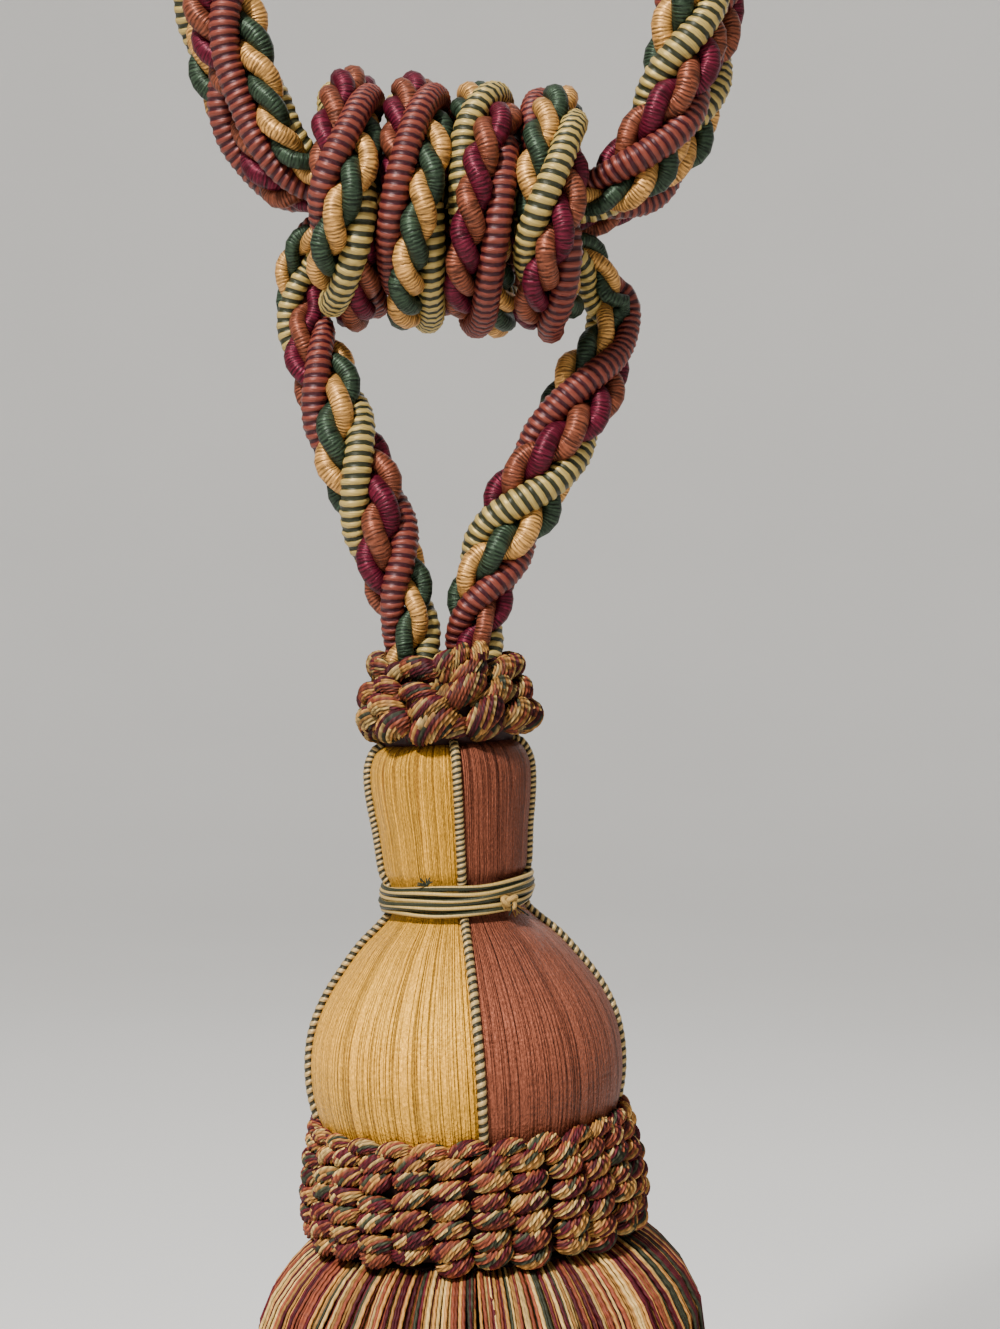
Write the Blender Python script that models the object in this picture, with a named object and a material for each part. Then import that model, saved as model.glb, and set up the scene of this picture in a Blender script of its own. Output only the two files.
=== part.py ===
"""Curtain tieback tassel: a knotted rope tieback with two loops, and a four-panel tassel below it.

Metres, +Z up. The origin is where the two rope loops bear on the hook that holds them, the object
hangs below it and its front faces -Y. Sizes in the tables are in millimetres.
"""

import math
import random

import bmesh
import bpy
from mathutils import Matrix, Vector

MM = 0.001
GAP = 0.3  # air between touching pieces

# Rope: four strands laid together, the section turning once in each lay.
ROPE_LOBES = 4
ROPE_LAY = 47.0
ROPE_STEPS_PER_LAY = 9.5
ROPE_VALLEY = 0.80  # groove radius over crown radius

# Barrel knot: 3.6 turns of rope wound round three rope runs.
BARREL_CENTRE = Vector((-1.3, 0.0, -215.9))
BARREL_TILT = math.radians(4.5)  # its right end hangs lower
BARREL_RADIUS = 18.9
BARREL_PITCH = 13.25
BARREL_FIRST_TURN = -20.0  # where the first turn crosses the front, along the axis
BARREL_ROPE = 6.3
BARREL_START = math.radians(-35.0)  # past the top, on the back
BARREL_END = math.radians(3 * 360.0 + 182.0)  # at the bottom of the fourth turn
BARREL_BACK_STEP = 0.85  # how much of each turn's advance is made on the back

# Rope loops above the knot: millimetres from the hook, crown radius of the rope, front run first.
# The left loop's eye hangs in front of the right one's.
LOOP_TABLE = {
    "loop_left": (
        # x, y, z, rope radius
        (-35.0, -8.0, -204.6, 7.3),
        (-38.7, -8.2, -196.5, 7.5),
        (-42.4, -8.3, -188.7, 7.6),
        (-45.2, -8.4, -180.0, 7.6),
        (-47.3, -8.4, -165.0, 7.6),
        (-47.0, -8.4, -145.0, 7.6),
        (-43.0, -8.4, -120.0, 7.6),
        (-34.5, -8.4, -92.0, 7.6),
        (-19.2, -8.4, -62.5, 7.6),
        (-6.0, -8.4, -38.0, 7.6),
        (6.0, -8.4, -22.0, 7.6),
        (11.6, -8.4, -8.6, 7.6),
        (8.0, -8.4, 4.6, 7.6),
        (-1.5, -8.4, 7.6, 7.6),
        (-10.8, -8.4, 1.3, 7.6),
        (-15.0, -8.4, -12.0, 7.6),
        (-22.4, -8.4, -29.5, 7.6),
        (-35.0, -8.2, -54.0, 7.6),
        (-48.0, -6.4, -82.5, 7.6),
        (-57.0, -1.0, -113.0, 7.6),
        (-58.6, 4.5, -140.0, 7.6),
        (-54.2, 8.0, -160.0, 7.6),
        (-50.0, 8.4, -175.0, 7.6),
        (-47.2, 8.2, -185.0, 7.6),
        (-43.8, 8.0, -195.0, 7.5),
        (-39.5, 7.8, -203.0, 7.3),
        (-34.6, 7.4, -208.8, 6.9),
    ),
    "loop_right": (
        (34.4, -7.6, -210.3, 7.0),
        (39.0, -8.0, -204.0, 7.3),
        (42.3, -8.2, -196.5, 7.5),
        (44.5, -8.3, -188.7, 7.6),
        (45.9, -8.4, -180.0, 7.6),
        (46.8, -8.0, -165.0, 7.6),
        (46.0, -4.5, -143.0, 7.6),
        (41.5, 1.0, -116.0, 7.6),
        (31.8, 6.0, -86.0, 7.6),
        (18.2, 8.3, -59.0, 7.6),
        (6.0, 8.4, -37.0, 7.6),
        (-6.0, 8.4, -22.0, 7.6),
        (-11.6, 8.4, -8.6, 7.6),
        (-8.0, 8.4, 4.6, 7.6),
        (1.5, 8.4, 7.6, 7.6),
        (10.8, 8.4, 1.3, 7.6),
        (15.0, 8.4, -12.0, 7.6),
        (22.6, 8.4, -29.5, 7.6),
        (35.0, 8.4, -53.5, 7.6),
        (48.6, 8.4, -82.5, 7.6),
        (56.5, 8.4, -113.0, 7.6),
        (57.0, 8.4, -140.0, 7.6),
        (53.6, 8.4, -160.0, 7.6),
        (50.6, 8.4, -175.0, 7.6),
        (48.8, 8.2, -186.0, 7.6),
        (46.0, 8.0, -196.0, 7.5),
        (41.6, 7.8, -204.0, 7.2),
        (36.0, 7.2, -209.8, 6.8),
    ),
}

# The three rope runs inside the knot: offset from the barrel's axis.
LANE_ROPE = 5.45
LANE = {"front": (-5.69, 3.28), "rear": (5.69, 3.28), "low": (0.0, -6.57)}
LANE_MOUTH = 27.5  # where a run leaves the knot, along the axis

# Legs from the knot to the tassel. The first rows are along the barrel's axis, the rest from the hook.
LEG_LEFT_MOUTH = (
    # along axis, depth, height off axis, rope radius
    (-14.0, 0.0, -6.57, 5.45),
    (-22.5, 0.5, -6.7, 5.4),
    (-27.6, 3.4, -8.9, 5.2),
    (-29.4, 7.0, -14.0, 5.2),
)
LEG_LEFT = (
    # x, y, z, rope radius
    (-31.6, 7.6, -236.5, 5.6),
    (-29.4, 5.4, -243.0, 6.2),
    (-26.2, 2.5, -250.6, 6.9),
    (-22.4, 0.5, -262.4, 7.4),
    (-17.2, 0.0, -274.4, 7.6),
    (-14.6, 0.0, -282.4, 7.6),
    (-11.4, 0.0, -292.5, 6.5),
    (-9.3, 0.0, -299.5, 6.0),
)
LEG_RIGHT_MOUTH = (
    (14.0, 0.0, -6.57, 5.45),
    (22.5, 0.5, -6.7, 5.4),
    (28.2, 3.4, -8.5, 5.2),
    (32.0, 7.0, -13.5, 5.3),
)
LEG_RIGHT = (
    (31.8, 9.4, -234.5, 5.6),
    (30.6, 7.6, -242.2, 6.2),
    (26.2, 3.0, -251.2, 7.4),
    (20.4, 0.0, -262.4, 7.6),
    (13.4, 0.0, -274.4, 7.6),
    (8.8, 0.0, -282.6, 7.4),
    (5.0, 0.0, -292.8, 6.5),
    (3.6, 0.0, -299.5, 6.0),
)
LEG_ROPE_END = 6.0
LEG_DEPTH_IN_RUFF = 3.7

# Tassel: hangs along its own axis from here. Depths below are along it, from its top ruff's rim.
TASSEL_TOP = Vector((-2.8, 0.0, -304.4))
TASSEL_LEAN = math.radians(-3.3)
SEAM_FIRST = math.radians(-84.0)  # the seam that faces front, just right of centre
PANELS = 4

# Ruffs: looped cord sewn side by side. Radius and depth of the outer face, top to bottom.
TOP_RUFF = ((14.6, 0.4), (15.9, 2.2), (16.2, 5.0), (17.2, 8.0), (18.2, 11.0), (18.8, 14.0), (17.9, 16.8))
TOP_RUFF_SOCKET = (12.5, 4.0)  # radius, depth
TOP_RUFF_FOOT = (15.0, 18.0)
TOP_RUFF_COLUMNS = 15
LOW_RUFF_DEPTHS = (93.0, 114.3)
LOW_RUFF_ROWS = 11
LOW_RUFF_RADIUS = 33.2
LOW_RUFF_FLARE = 2.0
LOW_RUFF_COLUMNS = 26
LOW_RUFF_LEDGE = (26.0, 96.8)  # inner radius, depth at which the panels stand on it
CORD_LOBE = 4.2  # length of one twist lobe in a ruff's cord

# Floss panels: radius and depth down the head.
HEAD_PROFILE = (
    (12.6, 18.3), (14.6, 19.6), (15.9, 22.5), (16.1, 26.0), (15.7, 30.5), (15.0, 35.5),
    (14.1, 40.0), (13.2, 43.4), (11.4, 44.9), (11.4, 52.5), (14.6, 53.9), (19.3, 57.8),
    (23.0, 62.0), (26.1, 66.2), (28.5, 70.4), (30.2, 75.0), (31.0, 80.0), (31.0, 85.0),
    (30.3, 89.5), (29.3, 93.0), (28.2, 96.5),
)
HEAD_BORE = 4.0
PANEL_GAP = math.radians(2.2)  # half the wedge left open at each seam
PANEL_STEPS = 7
SEAM_ROPE = 0.95
SEAM_END = 92.3
SEAM_SPARE = 0.15  # more air where the head curves

# Band tied round the neck: turns of fine cord side by side.
BAND_DEPTHS = (45.7, 51.7)
BAND_TURNS = 5
BAND_INNER = 14.0
BAND_OUTER = 15.7
BAND_GROOVE = 0.5
BAND_STEPS = 26
KNOT_AZIMUTH = math.radians(-50.0)
KNOT_SIZE = (2.6, 1.2, 1.7)

# Skirt of cut yarn: locks in rings, hanging from a disc under the lower ruff.
SKIRT_DISC = (31.0, 114.6, 116.8)  # radius, top, underside
SKIRT_LENGTH = 240.0
SKIRT_RINGS = (
    # locks, root radius, hang radius, sides, thickness
    (50, 29.3, 43.2, 4, 2.2),
    (32, 24.0, 37.6, 3, 2.0),
    (22, 18.0, 29.5, 3, 2.0),
    (12, 10.5, 18.5, 3, 2.0),
    (5, 3.6, 7.5, 3, 2.0),
)
LOCK_STATIONS = {4: (0.0, 0.035, 0.075, 0.16, 0.5, 1.0), 3: (0.0, 0.06, 0.16, 1.0)}  # down its length
LOCK_FILL = 0.76  # lock width over its share of the ring
SHOULDER = 19.0  # depth over which a lock turns from outwards to down

MATERIALS = {
    # name: colour, roughness
    "rope_yarn": ((0.30, 0.12, 0.08), 0.55),
    "ruff_cord": ((0.28, 0.13, 0.09), 0.75),
    "gold_floss": ((0.66, 0.42, 0.13), 0.45),
    "rust_floss": ((0.30, 0.10, 0.05), 0.45),
    "seam_cord": ((0.40, 0.33, 0.17), 0.60),
    "skirt_yarn": ((0.40, 0.19, 0.10), 0.70),
}


def clear_scene():
    for obj in list(bpy.data.objects):
        bpy.data.objects.remove(obj, do_unlink=True)


def new_collection(name):
    group = bpy.data.collections.new(name)
    bpy.context.scene.collection.children.link(group)
    return group


def new_material(name):
    colour, roughness = MATERIALS[name]
    material = bpy.data.materials.new(name)
    material.use_nodes = True
    shader = material.node_tree.nodes["Principled BSDF"]
    shader.inputs["Base Color"].default_value = (*colour, 1.0)
    shader.inputs["Roughness"].default_value = roughness
    shader.inputs["Metallic"].default_value = 0.0
    return material


def add_object(name, data, group, material=None, parent=None):
    obj = bpy.data.objects.new(name, data)
    group.objects.link(obj)
    obj.parent = parent
    if material:
        data.materials.append(material)
    return obj


def mesh_object(name, bm, group, material=None, parent=None):
    """Turns a bmesh in millimetres into an object, with its faces pointing out."""
    bmesh.ops.scale(bm, vec=(MM, MM, MM), verts=bm.verts)
    bmesh.ops.recalc_face_normals(bm, faces=bm.faces)
    mesh = bpy.data.meshes.new(name)
    bm.to_mesh(mesh)
    bm.free()
    mesh.shade_smooth()
    return add_object(name, mesh, group, material, parent)


def through(rows, spacing):
    """Points at even spacing on a smooth curve through the rows; other columns are carried along."""
    ends = [[2 * a - b for a, b in zip(rows[0], rows[1])], [2 * a - b for a, b in zip(rows[-1], rows[-2])]]
    rows = [ends[0], *rows, ends[1]]
    fine = []
    for before, here, after, beyond in zip(rows, rows[1:], rows[2:], rows[3:]):
        for i in range(24):
            t = i / 24
            fine.append([
                0.5 * (2 * b + (c - a) * t + (2 * a - 5 * b + 4 * c - d) * t ** 2 + (3 * b - a - 3 * c + d) * t ** 3)
                for a, b, c, d in zip(before, here, after, beyond)
            ])
    fine.append(list(rows[-2]))
    along = [0.0]
    for one, two in zip(fine, fine[1:]):
        along.append(along[-1] + math.dist(one[:3], two[:3]))
    count = max(2, round(along[-1] / spacing))
    even, k = [], 0
    for i in range(count + 1):
        wanted = along[-1] * i / count
        while k < len(along) - 2 and along[k + 1] < wanted:
            k += 1
        t = (wanted - along[k]) / (along[k + 1] - along[k])
        even.append([a + (b - a) * t for a, b in zip(fine[k], fine[k + 1])])
    return even


def rope_section(group):
    """The rope's lobed outline, one millimetre to its crowns, that every rope's curve is swept with."""
    data = bpy.data.curves.new("rope_section", "CURVE")
    data.dimensions = "2D"
    points = 2 * ROPE_LOBES
    spline = data.splines.new("POLY")
    spline.points.add(points - 1)
    for i, point in enumerate(spline.points):
        radius = MM * (1.0 if i % 2 == 0 else ROPE_VALLEY)
        angle = -math.tau * i / points
        point.co = (radius * math.cos(angle), radius * math.sin(angle), 0.0, 1.0)
    spline.use_cyclic_u = True
    section = add_object("rope_section", data, group)
    section.hide_render = True
    section.display_type = "WIRE"
    return section


def rope(name, rows, section, group, material):
    """A laid rope along the rows of x, y, z and crown radius: the section turns once in each lay."""
    spacing = ROPE_LAY / ROPE_STEPS_PER_LAY
    points = through(rows, spacing)
    data = bpy.data.curves.new(name, "CURVE")
    data.dimensions = "3D"
    data.bevel_mode = "OBJECT"
    data.bevel_object = section
    data.use_fill_caps = True
    spline = data.splines.new("POLY")
    spline.points.add(len(points) - 1)
    for i, (point, (x, y, z, radius)) in enumerate(zip(spline.points, points)):
        point.co = (x * MM, y * MM, z * MM, 1.0)
        point.radius = radius
        point.tilt = math.tau * i / ROPE_STEPS_PER_LAY
    return add_object(name, data, group, material)


def plain_cord(name, points, radius, group, material, parent):
    data = bpy.data.curves.new(name, "CURVE")
    data.dimensions = "3D"
    data.bevel_depth = radius * MM
    data.bevel_resolution = 1
    data.use_fill_caps = True
    spline = data.splines.new("POLY")
    spline.points.add(len(points) - 1)
    for point, place in zip(spline.points, points):
        point.co = (*(MM * value for value in place), 1.0)
    return add_object(name, data, group, material, parent)


def in_knot(along, depth, height):
    """A point given along and off the barrel's axis, in millimetres from the hook."""
    axis = Vector((math.cos(BARREL_TILT), 0.0, -math.sin(BARREL_TILT)))
    up = Vector((math.sin(BARREL_TILT), 0.0, math.cos(BARREL_TILT)))
    return BARREL_CENTRE + along * axis + Vector((0.0, depth, 0.0)) + height * up


def in_tassel(x, y, depth):
    """A point given off and along the tassel's axis, in millimetres from the hook."""
    return TASSEL_TOP + Matrix.Rotation(TASSEL_LEAN, 3, "Y") @ Vector((x, y, -depth))


def lane_rows(lane, first, last):
    depth, height = LANE[lane]
    places = [first + (last - first) * i / 2 for i in range(3)]
    return [(*in_knot(u, depth, height), LANE_ROPE) for u in places]


def make_loops(section, group, material):
    """Each loop leaves the knot on the front run, hangs on the hook and comes back on the rear run."""
    for name, side in (("loop_left", -1), ("loop_right", 1)):
        out = lane_rows("front", side * GAP / 2, side * LANE_MOUTH)
        back = lane_rows("rear", side * LANE_MOUTH, side * GAP / 2)
        rope(name, [*out, *LOOP_TABLE[name], *back], section, group, material)


def make_leg_rope(section, group, material):
    """One rope through the knot, both of whose ends drop into the tassel's top ruff."""
    left_end = (*in_tassel(-LEG_ROPE_END - GAP / 2, 0.0, LEG_DEPTH_IN_RUFF), LEG_ROPE_END)
    right_end = (*in_tassel(LEG_ROPE_END + GAP / 2, 0.0, LEG_DEPTH_IN_RUFF), LEG_ROPE_END)
    left = [(*in_knot(u, y, z), r) for u, y, z, r in LEG_LEFT_MOUTH]
    right = [(*in_knot(u, y, z), r) for u, y, z, r in LEG_RIGHT_MOUTH]
    rows = [left_end, *reversed(LEG_LEFT), *reversed(left), *right, *LEG_RIGHT, right_end]
    rope("leg_rope", rows, section, group, material)


def make_barrel_wrap(section, group, material):
    """The wound knot: turns lie square across the front and step sideways on the back."""
    steps = 48
    rows = []
    for i in range(steps + 1):
        turn = BARREL_START + (BARREL_END - BARREL_START) * i / steps
        advance = (turn + BARREL_BACK_STEP * (math.cos(turn) - 1)) / math.tau
        at_front = (math.pi / 2 - BARREL_BACK_STEP) / math.tau
        along = BARREL_FIRST_TURN + BARREL_PITCH * (advance - at_front)
        place = in_knot(along, -BARREL_RADIUS * math.sin(turn), BARREL_RADIUS * math.cos(turn))
        rows.append((*place, BARREL_ROPE))
    rope("barrel_wrap", rows, section, group, material)


def spun(profile, angle, steps, start=0.0, closed_face=False):
    """A profile of radius and depth, spun about the axis into a bmesh."""
    bm = bmesh.new()
    ring = Matrix.Rotation(start, 3, "Z")
    verts = [bm.verts.new(ring @ Vector((radius, 0.0, -depth))) for radius, depth in profile]
    if closed_face:
        geom = [bm.faces.new(verts)]
    else:
        geom = verts + [bm.edges.new(pair) for pair in zip(verts, verts[1:] + verts[:1])]
    bmesh.ops.spin(
        bm, geom=geom, axis=(0, 0, 1), cent=(0, 0, 0), angle=angle, steps=steps, use_merge=not closed_face
    )
    bmesh.ops.remove_doubles(bm, verts=bm.verts, dist=1e-5)
    return bm


def raise_cord(bm, profile_floor, columns, lean, depth):
    """Pushes an outer face in between the columns of looped cord and between each cord's lobes."""
    for vert in bm.verts:
        radius = math.hypot(vert.co.x, vert.co.y)
        if radius < profile_floor:
            continue
        column = math.atan2(vert.co.y, vert.co.x) * columns / math.tau
        ridge = abs(math.cos(math.pi * column))
        lobe = abs(math.cos(math.pi * (-vert.co.z / CORD_LOBE + lean * column)))
        sink = depth * (0.65 * (1 - ridge) + 0.35 * (1 - lobe))
        vert.co.xy *= (radius - sink) / radius


def make_top_ruff(group, material, parent):
    socket, floor = TOP_RUFF_SOCKET
    foot, bottom = TOP_RUFF_FOOT
    profile = [(0.0, floor), (socket, floor), (socket, 0.9), *TOP_RUFF, (foot, bottom), (0.0, bottom)]
    bm = spun(profile, math.tau, 3 * TOP_RUFF_COLUMNS)
    raise_cord(bm, TOP_RUFF[0][0] + 0.5, TOP_RUFF_COLUMNS, 0.5, 1.9)
    mesh_object("top_ruff", bm, group, material, parent)


def make_lower_ruff(group, material, parent):
    top, bottom = LOW_RUFF_DEPTHS
    inner, ledge = LOW_RUFF_LEDGE
    seat = HEAD_PROFILE[-2][0] + 2 * GAP
    outer = []
    for i in range(LOW_RUFF_ROWS):
        t = i / (LOW_RUFF_ROWS - 1)
        radius = LOW_RUFF_RADIUS + LOW_RUFF_FLARE * math.sin(math.pi * (0.1 + 0.75 * t))
        outer.append((radius, top + 0.4 + (bottom - top - 0.8) * t))
    profile = [(inner, ledge), (seat, ledge), (seat, top), *outer, (inner, bottom)]
    bm = spun(profile, math.tau, 3 * LOW_RUFF_COLUMNS)
    raise_cord(bm, LOW_RUFF_RADIUS - 0.5, LOW_RUFF_COLUMNS, 0.5, 1.8)
    mesh_object("lower_ruff", bm, group, material, parent)


def make_panels(group, gold, rust, parent):
    """Four quarter panels of floss on the head, gold and rust in turn, each open at its seams."""
    top, foot = HEAD_PROFILE[0][1], HEAD_PROFILE[-1][1]
    profile = [(HEAD_BORE, top), *HEAD_PROFILE, (HEAD_BORE, foot)]
    quarter = math.tau / PANELS
    names = ("panel_front_right", "panel_back_right", "panel_back_left", "panel_front_left")
    for i, name in enumerate(names):
        start = SEAM_FIRST + i * quarter + PANEL_GAP
        bm = spun(profile, quarter - 2 * PANEL_GAP, PANEL_STEPS, start, closed_face=True)
        mesh_object(name, bm, group, rust if i % 2 == 0 else gold, parent)


def make_seam_cords(group, material, parent):
    """A fine cord along each seam, lying as deep as the gap between its two panels lets it."""
    path = []
    for before, here, after in zip(HEAD_PROFILE, HEAD_PROFILE[1:], HEAD_PROFILE[2:]):
        slope = Vector((after[0] - before[0], after[1] - before[1])).normalized()
        sunk = here[0] * math.sin(PANEL_GAP)
        lift = math.sqrt(max(0.0, (SEAM_ROPE + GAP) ** 2 - sunk ** 2)) + SEAM_SPARE
        path.append((here[0] + lift * slope.y, here[1] - lift * slope.x))
    path = [point for point in path if point[1] < SEAM_END - SEAM_ROPE]
    path.append((path[-1][0] - SEAM_ROPE, SEAM_END))
    for i, name in enumerate(("seam_front", "seam_right", "seam_back", "seam_left")):
        angle = SEAM_FIRST + i * math.tau / PANELS
        points = [(out * math.cos(angle), out * math.sin(angle), -depth) for out, depth in path]
        plain_cord(name, points, SEAM_ROPE, group, material, parent)


def make_neck_band(group, material, parent):
    """Turns of fine cord round the neck, with the knot that ties them."""
    top, bottom = BAND_DEPTHS
    profile = [(BAND_INNER, top)]
    for i in range(2 * BAND_TURNS + 1):
        radius = BAND_OUTER - (BAND_GROOVE if i % 2 == 0 else 0.0)
        profile.append((radius, top + (bottom - top) * i / (2 * BAND_TURNS)))
    profile.append((BAND_INNER, bottom))
    mesh_object("neck_band", spun(profile, math.tau, BAND_STEPS), group, material, parent)

    bm = bmesh.new()
    bmesh.ops.create_icosphere(bm, subdivisions=1, radius=1.0)
    bmesh.ops.scale(bm, vec=KNOT_SIZE, verts=bm.verts)
    out = BAND_OUTER + KNOT_SIZE[1] + GAP
    bmesh.ops.translate(bm, vec=(0.0, -out, -0.5 * (top + bottom) - 0.6), verts=bm.verts)
    bmesh.ops.rotate(bm, matrix=Matrix.Rotation(math.pi / 2 + KNOT_AZIMUTH, 3, "Z"), verts=bm.verts)
    mesh_object("band_knot", bm, group, material, parent)


def lock(bm, angle, root, hang, width, sides, thickness, tip, sway):
    """One tapered lock: out from its root, over the shoulder and down."""
    top = SKIRT_DISC[2] - 0.8
    fall = SKIRT_LENGTH - top
    rings = []
    for t in LOCK_STATIONS[sides]:
        depth = top + fall * t * tip
        turned = min(1.0, (depth - top) / SHOULDER)
        radius = root + (hang - root) * math.sin(0.5 * math.pi * turned) ** 0.8 + 1.6 * t
        share = width * radius / hang
        spread = 1.0 - 0.35 * t
        place = angle + sway * t
        radial = Vector((math.cos(place), math.sin(place), 0.0))
        across = Vector((-math.sin(place), math.cos(place), 0.0))
        centre = radius * radial + Vector((0.0, 0.0, -depth))
        if sides == 4:
            corners = ((-0.5, -0.5), (0.5, -0.5), (0.5, 0.5), (-0.5, 0.5))
        else:
            corners = ((-0.5, -0.4), (0.5, -0.4), (0.0, 0.6))
        rings.append([
            bm.verts.new(centre + a * share * spread * across + b * thickness * radial) for a, b in corners
        ])
    for upper, lower in zip(rings, rings[1:]):
        for i in range(sides):
            j = (i + 1) % sides
            bm.faces.new((upper[i], upper[j], lower[j], lower[i]))
    bm.faces.new(rings[0])
    bm.faces.new(rings[-1])


def make_skirt(group, helpers, material, parent):
    """Locks of cut yarn, their roots joined into one disc."""
    rng = random.Random(7)
    bm = bmesh.new()
    for count, root, hang, sides, thickness in SKIRT_RINGS:
        width = LOCK_FILL * math.tau * hang / count
        for i in range(count):
            angle = math.tau * (i + 0.25 * rng.uniform(-0.3, 0.3)) / count
            tip = rng.uniform(0.965, 1.0)
            sway = 0.12 * rng.uniform(-1, 1) * width / hang
            lock(bm, angle, root, hang + rng.uniform(-0.4, 0.4), width, sides, thickness, tip, sway)
    locks = mesh_object("skirt_locks", bm, helpers, None, parent)
    locks.hide_render = True
    locks.display_type = "WIRE"

    radius, top, under = SKIRT_DISC
    bm = bmesh.new()
    bmesh.ops.create_cone(
        bm, cap_ends=True, segments=50, radius1=radius, radius2=radius, depth=under - top,
        matrix=Matrix.Translation((0.0, 0.0, -0.5 * (top + under))),
    )
    skirt = mesh_object("skirt", bm, group, material, parent)
    union = skirt.modifiers.new("locks", "BOOLEAN")
    union.operation = "UNION"
    union.solver = "EXACT"
    union.object = locks


def main():
    clear_scene()
    parts = new_collection("curtain_tieback_tassel")
    helpers = new_collection("guides_and_cutters")
    helpers.hide_render = True
    look = {name: new_material(name) for name in MATERIALS}

    section = rope_section(helpers)
    make_loops(section, parts, look["rope_yarn"])
    make_leg_rope(section, parts, look["rope_yarn"])
    make_barrel_wrap(section, parts, look["rope_yarn"])

    axis = add_object("tassel_axis", None, parts)
    axis.location = TASSEL_TOP * MM
    axis.rotation_euler.y = TASSEL_LEAN
    make_top_ruff(parts, look["ruff_cord"], axis)
    make_panels(parts, look["gold_floss"], look["rust_floss"], axis)
    make_seam_cords(parts, look["seam_cord"], axis)
    make_neck_band(parts, look["seam_cord"], axis)
    make_lower_ruff(parts, look["ruff_cord"], axis)
    make_skirt(parts, helpers, look["skirt_yarn"], axis)


main()
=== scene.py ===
import math
import random

import bpy
import numpy as np
from mathutils import Matrix, Vector


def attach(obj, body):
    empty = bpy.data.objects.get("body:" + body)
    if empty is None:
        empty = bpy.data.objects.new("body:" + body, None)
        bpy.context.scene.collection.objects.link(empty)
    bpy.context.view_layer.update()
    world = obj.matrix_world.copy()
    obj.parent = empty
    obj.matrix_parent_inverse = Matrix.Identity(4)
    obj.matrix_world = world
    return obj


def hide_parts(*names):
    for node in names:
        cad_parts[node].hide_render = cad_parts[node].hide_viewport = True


# Looks of the curtain tieback tassel. Sizes are in millimetres and become metres when a mesh is made.

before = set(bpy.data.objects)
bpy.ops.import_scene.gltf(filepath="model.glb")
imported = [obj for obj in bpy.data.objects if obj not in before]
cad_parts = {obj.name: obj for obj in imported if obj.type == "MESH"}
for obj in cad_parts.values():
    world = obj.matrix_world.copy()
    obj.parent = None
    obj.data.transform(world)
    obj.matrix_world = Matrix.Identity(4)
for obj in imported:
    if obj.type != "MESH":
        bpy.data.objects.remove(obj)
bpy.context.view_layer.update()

MM = 0.001
TAU = math.tau
BODY = "root"

# Camera: level, its view 0.2 mm a pixel at the tassel's own plane.
CAMERA_PLACE = (8.6, -420.0, -307.2)
HALF_HEIGHT = 132.9  # mm seen above and below the centre, at the tassel's plane
SENSOR = 36.0
UNDER_KEY = 0.76  # the studio's key light makes a thread look lighter than its own colour

# Curves
STEPS_BETWEEN_ROWS = 24  # that a smooth curve is worked out with
QUARTER = TAU / 4

# Rope
ROPE_ORDER = ("yellow", "green", "red", "maroon")  # its strands, as they follow each other at the front
BARREL_ORDER = ("maroon", "red", "green", "yellow")
ROPE_RADIUS = 7.5  # the radius that the strand sizes below are for
ROPE_SPACING = 0.42  # between the points of a laid rope
LAY_QUARTER = 11.75  # rope length in which the next strand comes to the front
STRAND_SIDES = 10
GIMP_CENTRE, GIMP_RADIUS, GIMP_RIDGE = 4.45, 2.95, 0.055
PAIR_CENTRE, PAIR_OFFSET, PAIR_RADIUS, PAIR_LAY = 4.1, 1.75, 2.2, 12.5
PAIR_POINTS_EVERY = 3
PAIR_SWELL, PAIR_SWELL_LENGTH = 0.03, 7.3
RED_PITCH, YELLOW_PITCH = 1.7, 2.0
GIMPS = {"red": (0, RED_PITCH), "yellow": (1, YELLOW_PITCH)}  # material slot and winding pitch
PAIRS = {"green": (2, 3), "maroon": (4, 5)}  # material slots
PHASE_EASE = 25  # points to each side over which a change in the lay is spread

# Barrel knot
BARREL_CENTRE = np.array((-1.3, 0.0, -215.9))
BARREL_TILT = math.radians(4.5)
BARREL_RADIUS = 18.9
BARREL_PITCH = 13.25
BARREL_FIRST_TURN = -20.0
BARREL_ROPE = 6.8
BARREL_START, BARREL_END = -35.0, 1262.0  # degrees past the top of the first turn
BARREL_BACK_STEP = 0.85  # 0 for an even spiral, 1 for turns square across the front
BARREL_ROWS = 90
BARREL_STRAND = 45.0  # degrees of a turn to each strand, before the first that shows
LANE_ROPE = 5.45
LANE = {"front": (-5.69, 3.28), "rear": (5.69, 3.28)}  # depth and height of a run inside the knot
LANE_MOUTH = 27.5  # where a run leaves the knot, along its axis
GAP = 0.3  # between rope ends that meet

# Tassel
TASSEL_TOP = (-2.8, 0.0, -304.4)  # the origin of the tassel's own depths
TASSEL_LEAN = math.radians(-3.3)
FRONT = math.radians(-90.0)  # angles are round the tassel's axis, from +X
SEAM_FIRST = math.radians(-84.0)

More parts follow.
